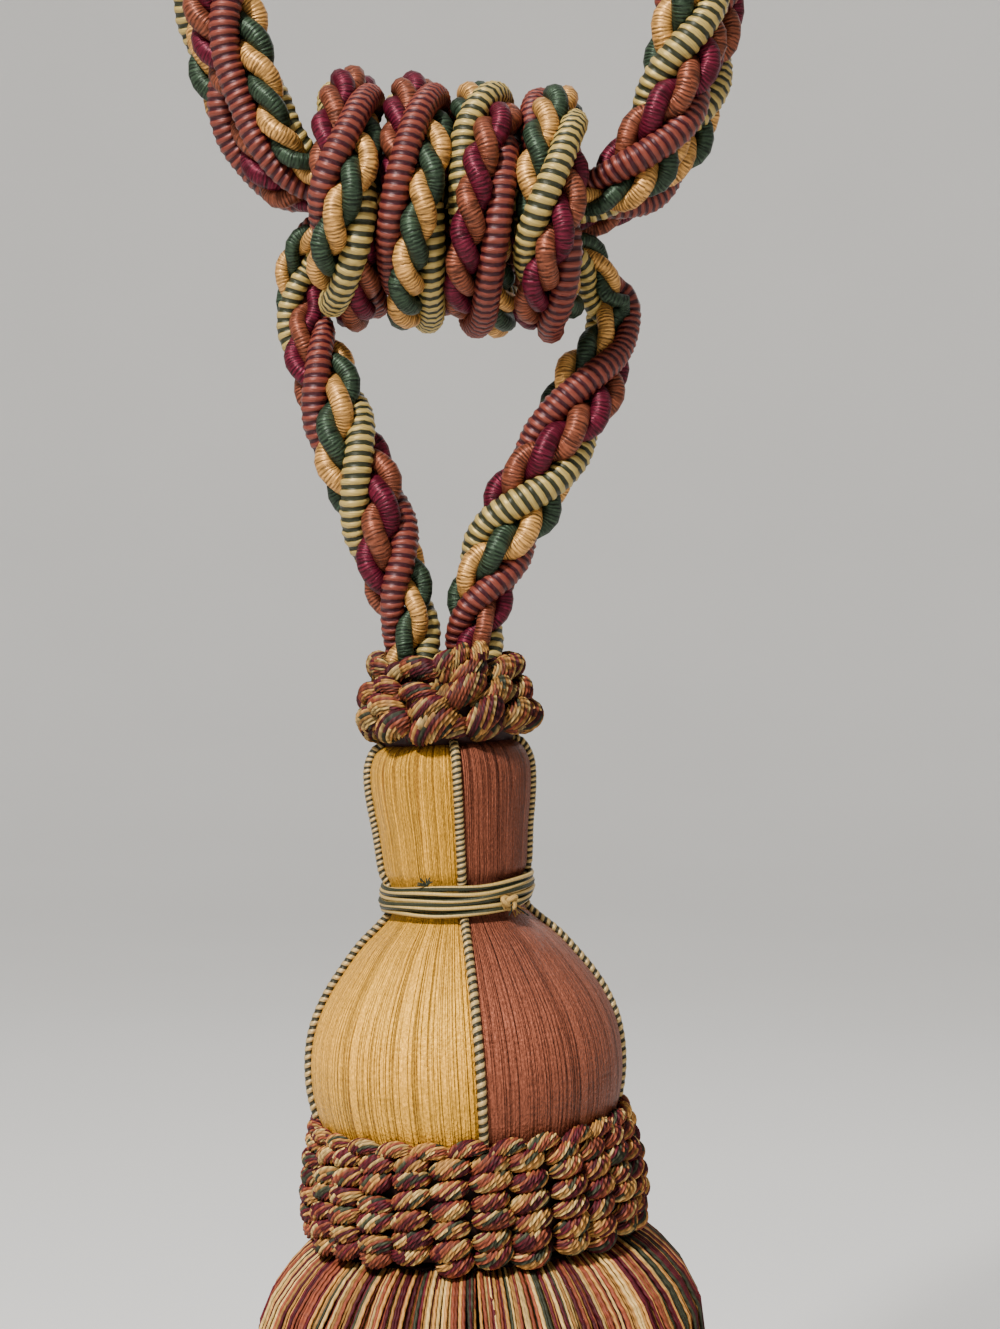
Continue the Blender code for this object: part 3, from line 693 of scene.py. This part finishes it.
YARN_TINTS = (
    # colour and how often it comes
    (linear(206, 146, 74), 26), (linear(228, 186, 112), 13), (linear(154, 76, 50), 24),
    (linear(94, 24, 34), 26), (linear(66, 68, 48), 11),
)
DEEP_SHADE = linear(40, 14, 12)
BEAD_STEPS = 13
BEAD_FLECKS, FLECK_STEPS = 3, 4.5  # colours spun into a yarn, and how many steps each shows for
BEAD_TUCK = 1.1  # how far its ends go in, in half thicknesses
BEAD_WIND = math.tan(math.radians(38))  # how steeply the yarns cross a bead
BEAD_END, BEAD_BLUNTNESS = 0.97, 0.42
THINNEST = 0.04  # of a bead, at its ends
CREST, GROOVE = 1.09, 0.80  # radius over a yarn and between two, in half thicknesses
CREST_PAINTED_HIGHLIGHT, GROOVE_PAINTED_SHADE = 1.3, 0.28  # share of the colour that each keeps: a painted highlight on a yarn's crest, painted shade in the groove between two


def pick_tint(rng, low, high):
    colours, weights = zip(*YARN_TINTS)
    return np.array(rng.choices(colours, weights)[0]) * rng.uniform(low, high)


def bead(pile, azimuth, depth, outer, length, slope, thick, yarns, rng, tones, arch):
    """A plump turn of twisted cord on a ruff, both ends tucked in. Outer is the radius that it reaches,
    slope is up to the right in degrees, thick is half its thickness and arch how far its ends drop."""
    t = np.linspace(-1, 1, BEAD_STEPS)
    across = 0.5 * length * t * math.cos(math.radians(slope))
    rise = 0.5 * length * t * math.sin(math.radians(slope)) - arch * t ** 2
    out = outer - thick * (1 + BEAD_TUCK * np.abs(t) ** 3)
    angle = azimuth + across / outer
    points = np.stack([out * np.cos(angle), out * np.sin(angle), rise - depth], axis=1)
    plump = thick * np.maximum(THINNEST, 1 - (BEAD_END * t) ** 2) ** BEAD_BLUNTNESS
    bulge = np.where(np.arange(2 * yarns) % 2, CREST, GROOVE)
    flecks = np.array([[pick_tint(rng, *tones) for _ in range(yarns)] for _ in range(BEAD_FLECKS)])
    starts = np.array([rng.uniform(0, BEAD_FLECKS) for _ in range(yarns)])
    steps = np.arange(BEAD_STEPS - 1)[:, None] / FLECK_STEPS
    fleck = (starts[None] + steps).astype(int) % BEAD_FLECKS
    tint = np.repeat(flecks[fleck, np.arange(yarns)[None]], 2, axis=1)
    wind = rng.uniform(0, TAU) - BEAD_WIND * 0.5 * length * t / thick
    # each yarn's crest gets a painted highlight and each groove between yarns painted shade, through the
    # tint
    pile.tube(
        points, 0.5 * length * (t + 1), plump[:, None] * bulge[None], 2 * yarns, level(points),
        turn=wind, tint=tint, ribs=np.where(bulge > 1, CREST_PAINTED_HIGHLIGHT, GROOVE_PAINTED_SHADE),
    )


def sleeve(pile, profile, sides):
    """A plain turned skin behind the cords, which keeps the light from showing through."""
    pile.sweep(turned_rings(profile, sides)[::-1], np.arange(len(profile)), tint=DEEP_SHADE)


RUFF_SLEEVE_SIDES = 48
TOP_SLEEVE = (
    # radius and depth, as in each sleeve
    (10.0, 3.6), (11.0, 4.6), (13.4, 10.0), (14.2, 14.5), (13.6, 17.0), (12.4, 19.0),
)
TOP_BEADS = (
    # degrees right of the front, depth, length, slope, half thickness
    (-22, 3.2, 11.0, -10, 2.4), (3, 2.2, 6.5, 30, 2.2), (14, 1.8, 8.0, 50, 1.8),
    (24, 4.2, 9.5, 20, 2.2), (35, 1.1, 6.0, 60, 1.8), (60, 4.2, 7.5, 35, 2.2),
    (16, 7.8, 12.5, 30, 2.4), (-19, 7.7, 9.5, -8, 2.0), (-48, 6.1, 7.5, -15, 1.9),
    (-68, 2.3, 6.5, -20, 1.9), (-48, 9.8, 10.0, -10, 2.4), (-11, 10.8, 9.0, 15, 2.2),
    (-70, 12.3, 8.5, 5, 2.6), (-37, 13.8, 8.5, 20, 2.8), (-8, 14.0, 11.0, 25, 2.9),
    (29, 12.4, 10.0, 38, 2.6), (44, 8.3, 9.0, 35, 2.2), (59, 12.8, 9.0, 25, 2.5),
    (76, 8.2, 8.0, 30, 2.2), (-76, 7.4, 8.0, 10, 2.2), (82, 3.4, 8.0, 20, 2.1),
    (84, 13.4, 8.5, 20, 2.6),
)
TOP_YARNS = 17
TOP_TONES = (0.38, 0.9)
TOP_SINK = 0.3  # how much lower the beads hang than the table says
TOP_BACK = ((3.0, 2.2), (8.2, 2.4), (13.3, 2.7))  # depth and half thickness of the rows behind
TOP_BACK_COUNT, TOP_BACK_FIRST, TOP_BACK_STEP = 7, 105, 25  # degrees right of the front
TOP_UNDER = (4.6, 9.4, 14.6)  # depths of the rows of beads below the others, darker with painted shade
TOP_UNDER_COUNT, TOP_UNDER_YARNS, TOP_UNDER_SHADED_TONES = 13, 13, (0.25, 0.6)
TOP_UNDER_THICK, TOP_UNDER_INSET, TOP_UNDER_ARCH = 2.4, 1.9, 0.5
TOP_LENGTH = 9.5  # of the beads that the table doesn't list


def top_ruff_side(azimuth, depth):
    """The top ruff's outer radius, which is less where it closes on the ropes in front and behind."""
    closing = 3.0 * (1 - abs(math.cos(azimuth))) * max(0.0, 1 - depth / 8)
    return float(np.interp(depth, (1.0, 13.0), (15.4, 19.2))) - closing


def make_top_ruff(materials):
    """Looped cord round the tassel's top: the beads that the photo shows, and even rows behind."""
    rng = random.Random(21)
    pile = Pile()
    sleeve(pile, TOP_SLEEVE, RUFF_SLEEVE_SIDES)
    rows = [(FRONT + math.radians(turn), *rest) for turn, *rest in TOP_BEADS]
    for depth, thick in TOP_BACK:
        for i in range(TOP_BACK_COUNT):
            turn = FRONT + math.radians(TOP_BACK_FIRST + TOP_BACK_STEP * i + rng.uniform(-4, 4))
            lower = depth + rng.uniform(-0.8, 0.8)
            slope = rng.uniform(0, 40)
            rows.append((turn, lower, TOP_LENGTH, slope, thick * rng.uniform(0.9, 1.1)))
    # rows of beads under the others, their low tones painted shade
    for depth in TOP_UNDER:
        for i in range(TOP_UNDER_COUNT):
            turn = TAU * (i + rng.uniform(-0.2, 0.2)) / TOP_UNDER_COUNT
            outer = top_ruff_side(turn, depth) - TOP_UNDER_INSET
            bead(
                pile, turn, depth, outer, TOP_LENGTH, rng.uniform(-15, 45), TOP_UNDER_THICK,
                TOP_UNDER_YARNS, rng, TOP_UNDER_SHADED_TONES, TOP_UNDER_ARCH,
            )
    for azimuth, depth, length, slope, thick in rows:
        outer = top_ruff_side(azimuth, depth) + rng.uniform(-0.4, 0.3)
        arch = rng.uniform(0.2, 1.0)
        bead(pile, azimuth, depth + TOP_SINK, outer, length, slope, thick, TOP_YARNS, rng, TOP_TONES, arch)
    declare(pile.make("corded_top_ruff", materials, tassel_matrix()), "top_ruff")


LOWER_SLEEVE = ((29.6, 93.4), (30.0, 100.0), (30.8, 108.0), (30.4, 113.8), (20.0, 114.6))
LOWER_COLUMNS = 26
LOWER_TIERS = (
    # depth and outer radius
    (95.8, 33.1), (99.2, 33.9), (102.7, 34.5), (106.2, 34.9), (109.7, 35.1), (113.0, 34.7),
)
LOWER_LENGTH, LOWER_THICK, LOWER_YARNS, LOWER_TONES = 7.7, 1.95, 13, (0.6, 1.2)
LOWER_STAGGER = 0.6  # how far every other column hangs down and the rest are up
LOWER_FOOT_ARCH = -0.9  # the last tier's ends turn up
# The beads that close the rim, between the columns
RIM_DEPTH, RIM_RADIUS, RIM_LENGTH, RIM_THICK = 92.9, 32.4, 8.8, 1.5
RIM_YARNS, RIM_TONES, RIM_ARCH = 11, (0.65, 1.25), 1.6


def make_lower_ruff(materials):
    """Columns of twisted cord round the foot of the head."""
    rng = random.Random(5)
    pile = Pile()
    sleeve(pile, LOWER_SLEEVE, RUFF_SLEEVE_SIDES)
    step = TAU / LOWER_COLUMNS
    for i in range(LOWER_COLUMNS):
        column = step * (i + rng.uniform(-0.05, 0.05))
        shift = rng.uniform(-0.5, 0.5) + (LOWER_STAGGER if i % 2 else -LOWER_STAGGER)
        for tier, (depth, outer) in enumerate(LOWER_TIERS):
            last = tier == len(LOWER_TIERS) - 1
            lower = depth + shift * (0.4 if tier == 0 else 1.0) + rng.uniform(-0.3, 0.3)
            azimuth = column + rng.uniform(-0.012, 0.012)
            reach = outer + rng.uniform(-0.3, 0.2)
            length = LOWER_LENGTH * rng.uniform(0.92, 1.12)
            slope = rng.uniform(2, 18)
            thick = LOWER_THICK * rng.uniform(0.9, 1.1)
            arch = LOWER_FOOT_ARCH if last else rng.uniform(-0.2, 0.7)
            bead(pile, azimuth, lower, reach, length, slope, thick, LOWER_YARNS, rng, LOWER_TONES, arch)
        between = column + 0.5 * step
        depth = RIM_DEPTH + rng.uniform(-0.3, 0.3)
        bead(
            pile, between, depth, RIM_RADIUS, RIM_LENGTH, rng.uniform(4, 14), RIM_THICK, RIM_YARNS, rng,
            RIM_TONES, RIM_ARCH,
        )
    declare(pile.make("corded_lower_ruff", materials, tassel_matrix()), "lower_ruff")


# ------------------------ head


PANEL_SPACING, PANEL_LINES = 0.8, 110  # between the rings of a panel, and how many lines run down it
PANEL_THREADS = 90  # to each panel
PANEL_DIP, PANEL_DIP_WIDTH = 0.95, 0.9  # where it goes under the seam cord
PANEL_RELIEF, PANEL_RELIEF_FROM = 0.015, 1.5
SEAM_SPACING, SEAM_SIDES = 0.5, 8
SEAM_RADIUS, SEAM_LIFT, SEAM_RIDGE = 0.90, 0.36, 0.08
SEAM_PITCH = 1.65
SEAM_END = 93.4  # depth
SEAM_CLOSE = 0.65  # the winding's pitch at the neck, as a share of the pitch elsewhere
SEAM_CLOSE_DEPTHS = (38.0, 62.0)


def head_line(spacing):
    """Distances down the head's side, and the radius and depth at each."""
    rows = [(radius, 0.0, -depth) for radius, depth in HEAD_PROFILE]
    along, points = smooth_rows(rows, spacing)
    return along, points[:, 0], -points[:, 2]


def make_panels(look):
    """Floss over each quarter of the head, dipping to the seam cord at both edges."""
    along, radius, depth = head_line(PANEL_SPACING)
    rng = np.random.default_rng(3)
    t = np.linspace(0, 1, PANEL_LINES)
    for i, name in enumerate(PANELS):
        angle = SEAM_FIRST + i * QUARTER + QUARTER * t
        edge = np.minimum(t, 1 - t)[None] * QUARTER * radius[:, None]
        dip = PANEL_DIP * np.exp(-((edge / PANEL_DIP_WIDTH) ** 2))
        uneven = PANEL_RELIEF * rng.normal(0, 1, PANEL_LINES)[None]
        spread = radius[:, None] - dip + uneven * np.clip(edge / PANEL_RELIEF_FROM, 0, 1)
        down = np.repeat(-depth[:, None], PANEL_LINES, 1)
        rings = np.stack([spread * np.cos(angle), spread * np.sin(angle), down], -1)
        inner = rings[[0, -1]] * np.array((0.8, 0.8, 1.0))  # its ends turn in behind the ruffs
        rings = np.concatenate([inner[:1], rings, inner[1:]])
        pile = Pile()
        pile.sweep(rings[:, ::-1], np.r_[0, along, along[-1]], closed=False)
        pile.uvs = [np.stack([uv[:, 1] * PANEL_THREADS, uv[:, 0] / along[-1]], axis=1) for uv in pile.uvs]
        slot = "gold_floss" if i % 2 else "rust_floss"
        declare(pile.make("floss_" + name, look[slot], tassel_matrix()), "panel_" + name)


def make_seams(materials):
    """A fine wound cord down each seam of the head, its winding closer at the neck."""
    along, radius, depth = head_line(SEAM_SPACING)
    slope = unit(np.stack([np.gradient(radius), np.gradient(depth)], axis=1))
    out, down = radius + SEAM_LIFT * slope[:, 1], depth - SEAM_LIFT * slope[:, 0]
    pitch = np.interp(depth, SEAM_CLOSE_DEPTHS, (SEAM_PITCH * SEAM_CLOSE, SEAM_PITCH))
    turns = np.r_[0, np.cumsum(np.diff(along) / pitch[1:])] * SEAM_PITCH
    keep = down < SEAM_END
    length = turns[keep]
    ridge = SEAM_RADIUS * wound(length, SEAM_PITCH, SEAM_SIDES, SEAM_RIDGE)
    for i, name in enumerate(SEAMS):
        angle = SEAM_FIRST + i * QUARTER
        points = np.stack([out * math.cos(angle), out * math.sin(angle), -down], axis=1)[keep]
        outward = np.tile((math.cos(angle), math.sin(angle), 0.0), (len(points), 1))
        pile = Pile()
        pile.tube(points, length, ridge, SEAM_SIDES, outward)
        declare(pile.make("seam_cord_" + name, materials, tassel_matrix()), "seam_" + name)


# ------------------------ neck


BAND_TURNS, BAND_POINTS, BAND_SPACING = 6.0, 160, 1.2
BAND_CORD, BAND_SIDES = 0.58, 8
BAND_RADIUS, BAND_TOP, BAND_HEIGHT = 15.05, 45.9, 5.6
BAND_END = math.radians(100.0)  # both ends are tucked in at the back
BAND_TUCK, BAND_TUCK_SHARE = 1.2, 12
BAND_RISE = 1.7  # the turns ride up on the right
KNOT_TURN, KNOT_RADIUS, KNOT_DEPTH = math.radians(-50.0), 16.2, 49.6
KNOT_CORD, KNOT_SIDES, KNOT_POINTS, KNOT_SPACING = 0.55, 8, 36, 0.4
KNOT_WIDE, KNOT_DEEP, KNOT_TALL = 0.62, 0.5, 0.42
FRAYED_ENDS, FRAYED_RADIUS = 14, 0.16
TUFT_TURN, TUFT_RADIUS, TUFT_DEPTH = math.radians(-112.0), 14.6, 45.6
TUFT_ENDS, TUFT_FIBRE = 16, 0.14
FIBRE_SIDES, FIBRE_SPACING = 4, 0.5
UP = np.array((0.0, 0.0, 1.0))


def thread(pile, rows, spacing, radius, sides, outward, tint):
    """A thin cord on a smooth line through the rows."""
    length, points = smooth_rows(rows, spacing)
    pile.tube(points, length, radius, sides, np.tile(outward, (len(points), 1)), tint=tint)


def make_band(materials):
    """Turns of fine cord round the neck."""
    rows = []
    for i in range(BAND_POINTS):
        t = i / (BAND_POINTS - 1)
        angle = BAND_END + TAU * BAND_TURNS * t
        wander = 0.18 * math.sin(2.3 * angle) + 0.12 * math.sin(5.1 * angle + 1)
        tuck = BAND_TUCK * max(0.0, 1 - BAND_TUCK_SHARE * min(t, 1 - t))
        radius = BAND_RADIUS + 0.2 * math.sin(1.7 * angle + 2) - tuck
        rise = BAND_RISE * max(0.0, math.cos(angle - 0.2)) ** 2
        rows.append(round_axis(angle, radius, BAND_TOP + BAND_HEIGHT * t + wander - rise))
    length, points = smooth_rows(rows, BAND_SPACING)
    pile = Pile()
    pile.tube(points, length, BAND_CORD, BAND_SIDES, level(points))
    declare(pile.make("neck_cord", materials, tassel_matrix()), "neck_band")


def tie_knot(pile, rng):
    """The knot on the band, as a trefoil, and the frayed ends that stick out of it."""
    east = np.array((-math.sin(KNOT_TURN), math.cos(KNOT_TURN), 0.0))
    outward = np.array((math.cos(KNOT_TURN), math.sin(KNOT_TURN), 0.0))
    place = round_axis(KNOT_TURN, KNOT_RADIUS, KNOT_DEPTH)
    rows = []
    for i in range(KNOT_POINTS + 1):
        a = TAU * i / KNOT_POINTS
        x = math.sin(a) + 2 * math.sin(2 * a)
        y = -math.sin(3 * a)
        z = math.cos(a) - 2 * math.cos(2 * a)
        rows.append(place + KNOT_WIDE * x * east + KNOT_DEEP * y * outward + KNOT_TALL * z * UP)
    thread(pile, rows, KNOT_SPACING, KNOT_CORD, KNOT_SIDES, outward, PALE)
    for _ in range(FRAYED_ENDS):
        tip = place + rng.uniform(-1, 4.5) * east + rng.uniform(-0.2, 1.0) * outward
        tip = tip + rng.uniform(-3.2, 0.5) * UP
        middle = (place + tip) / 2 + rng.uniform(-0.5, 0.5) * east + 0.4 * outward
        tint = rng.choice((PALE, GREEN, GOLD))
        thread(pile, [place, middle, tip], FIBRE_SPACING, FRAYED_RADIUS, FIBRE_SIDES, outward, tint)


def make_neck_knot(materials):
    """The band's knot with its frayed ends, and the faded tuft on the band's left."""
    rng = random.Random(9)
    pile = Pile()
    tie_knot(pile, rng)
    root = round_axis(TUFT_TURN, TUFT_RADIUS, TUFT_DEPTH)
    for _ in range(TUFT_ENDS):
        tip = root + np.array((rng.uniform(-1.8, 1.6), rng.uniform(-1.3, -0.1), rng.uniform(0.2, 1.9)))
        middle = (root + tip) / 2 + np.array((0, -0.3, 0.2))
        thread(pile, [root, middle, tip], FIBRE_SPACING, TUFT_FIBRE, FIBRE_SIDES, (0, -1.0, 0), FADED_GREEN)
    declare(pile.make("neck_knot", materials, tassel_matrix()), "band_knot")


# ------------------------ skirt


SKIRT_TOP = 115.4
SKIRT_END = 240.0
SHOULDER = 19.0  # depth over which the yarns turn down
SHOULDER_FULLNESS = 0.8
SKIRT_FLARE = 1.6
SKIRT_LAYERS = (
    # yarns, root radius, hanging radius, thickness
    (320, 30.6, 43.7, 0.35),
    (320, 29.6, 42.8, 0.38),
    (290, 28.4, 41.6, 0.43),
    (240, 26.6, 39.8, 0.50),
    (110, 22.0, 35.0, 0.66),
    (60, 15.0, 25.0, 0.75),
    (30, 6.0, 13.0, 0.80),
)
SKIRT_SIDES = 5
SKIRT_TONES = (0.45, 1.22)
LAYER_PAINTED_SHADE, DEEPEST_PAINTED_SHADE = 0.25, 0.4  # painted shade: each layer is darker than the one outside it, down to a share
SWAY_FULL = 40.0  # hanging radius past which the sway, an angle, is made less
YARN_STATIONS = np.array((0.0, 0.02, 0.045, 0.08, 0.13, 0.2, 0.34, 0.5, 0.67, 0.84, 1.0))
SKIRT_DISC = ((30.4, 114.9), (30.4, 116.3), (1.0, 116.6))  # radius and depth
SKIRT_DISC_SIDES = 40


def hang_yarn(pile, rng, layer, i):
    """One yarn of a layer: out over the shoulder and down, swaying a little."""
    count, root, hang, thick = SKIRT_LAYERS[layer]
    fall = (SKIRT_END - SKIRT_TOP) * rng.uniform(0.955, 1.0)
    depth = SKIRT_TOP + fall * YARN_STATIONS
    turned = np.minimum(1, (depth - SKIRT_TOP) / SHOULDER)
    curve = np.sin(0.5 * math.pi * turned) ** SHOULDER_FULLNESS
    reach = root + (hang - root) * curve + SKIRT_FLARE * YARN_STATIONS
    reach = reach + rng.uniform(-0.9, 0.5) * turned
    lean = rng.uniform(-0.045, 0.045) * YARN_STATIONS
    swing = rng.uniform(-0.02, 0.02)
    sway = lean + swing * np.sin(YARN_STATIONS * rng.uniform(3, 14) + rng.uniform(0, TAU))
    angle = TAU * (i + rng.uniform(-0.7, 0.7)) / count + sway * min(1.0, SWAY_FULL / hang)
    points = np.stack([reach * np.cos(angle), reach * np.sin(angle), -depth], axis=1)
    # painted shade, deeper for each layer further in
    tint = pick_tint(rng, *SKIRT_TONES) * max(DEEPEST_PAINTED_SHADE, 1.0 - LAYER_PAINTED_SHADE * layer)
    radius = thick * rng.uniform(0.8, 1.15)
    pile.tube(points, length_along(points), radius, SKIRT_SIDES, level(points), tint=tint)


def make_skirt(materials):
    rng = random.Random(11)
    pile = Pile()
    for layer, (count, *_) in enumerate(SKIRT_LAYERS):
        for i in range(count):
            hang_yarn(pile, rng, layer, i)
    sleeve(pile, SKIRT_DISC, SKIRT_DISC_SIDES)
    declare(pile.make("skirt_yarns", materials, tassel_matrix()), "skirt")


# ------------------------ studio, in metres


MIDDLE = (0.0, 0.0, -0.30)  # where both lights point
KEY_PLACE, KEY_SIZE, KEY_POWER = (-0.44, -0.82, 0.62), 0.16, 40.0
BACK_PLACE, BACK_SIZE, BACK_POWER = (0.3, 1.0, 0.3), 0.9, 1.5
KEY_COLOUR, WHITE = (1.0, 0.98, 0.94), (1.0, 1.0, 1.0)
SKY, SKY_STRENGTH = (0.80, 0.79, 0.77, 1.0), 0.8
FLOOR_DARK, FLOOR_LIGHT = (0.86, 0.85, 0.835), (0.88, 0.87, 0.855)
STAGE_SIDES = 96
STAGE_PROFILE = (
    # radius and depth: a floor that rises to a wall all round
    (0.0, 0.62), (1.2, 0.62), (2.2, 0.62), (2.6, 0.58), (3.0, 0.42), (3.3, 0.1), (3.4, -0.4), (3.4, -2.2),
)


def make_camera():
    data = bpy.data.cameras.new("camera")
    data.sensor_width = SENSOR
    data.lens = 0.5 * SENSOR * -CAMERA_PLACE[1] / HALF_HEIGHT
    data.clip_start = 0.01
    camera = bpy.data.objects.new("camera", data)
    camera.location = Vector(CAMERA_PLACE) * MM
    camera.rotation_euler = (math.radians(90), 0.0, 0.0)
    bpy.context.scene.collection.objects.link(camera)
    bpy.context.scene.camera = camera


def area_light(name, place, size, power, colour):
    data = bpy.data.lights.new(name, "AREA")
    data.shape = "DISK"
    data.size = size
    data.energy = power
    data.color = colour
    light = bpy.data.objects.new(name, data)
    light.visible_camera = False
    light.location = place
    light.rotation_euler = (Vector(MIDDLE) - Vector(place)).to_track_quat("-Z", "Y").to_euler()
    bpy.context.scene.collection.objects.link(light)


def make_stage():
    shade = Shade("floor_paint", 0.8, 0.1)
    tone = shade.ramp(shade.grain(3.0), (0.3, FLOOR_DARK), (0.7, FLOOR_LIGHT))
    paint = shade.finish(tone, shade.grain(400.0), 0.05, 0.2)
    rings = turned_rings(STAGE_PROFILE, STAGE_SIDES) / MM
    bowl = Pile()
    bowl.sweep(rings[1:], np.arange(len(rings) - 1), capped=False)
    bowl.sweep(rings[:2], np.arange(2), capped=False)
    bowl.make("floor", [paint])


def make_studio():
    world = bpy.data.worlds.new("studio")
    world.use_nodes = True
    background = world.node_tree.nodes["Background"]
    background.inputs["Color"].default_value = SKY
    background.inputs["Strength"].default_value = SKY_STRENGTH
    bpy.context.scene.world = world
    area_light("key", KEY_PLACE, KEY_SIZE, KEY_POWER, KEY_COLOUR)
    area_light("back", BACK_PLACE, BACK_SIZE, BACK_POWER, WHITE)
    make_stage()


def main():
    make_camera()
    look = make_materials()
    make_rope("loop_left", loop_rows("loop_left", -1), look["rope"])
    make_rope("loop_right", loop_rows("loop_right", 1), look["rope"])
    make_rope("leg_rope", leg_rows(), look["rope"])
    make_barrel(look["rope"])
    make_top_ruff(look["ruff"])
    make_lower_ruff(look["ruff"])
    make_panels(look)
    make_seams(look["seam"])
    make_band(look["band"])
    make_neck_knot(look["ruff"])
    make_skirt(look["skirt"])
    make_studio()


main()
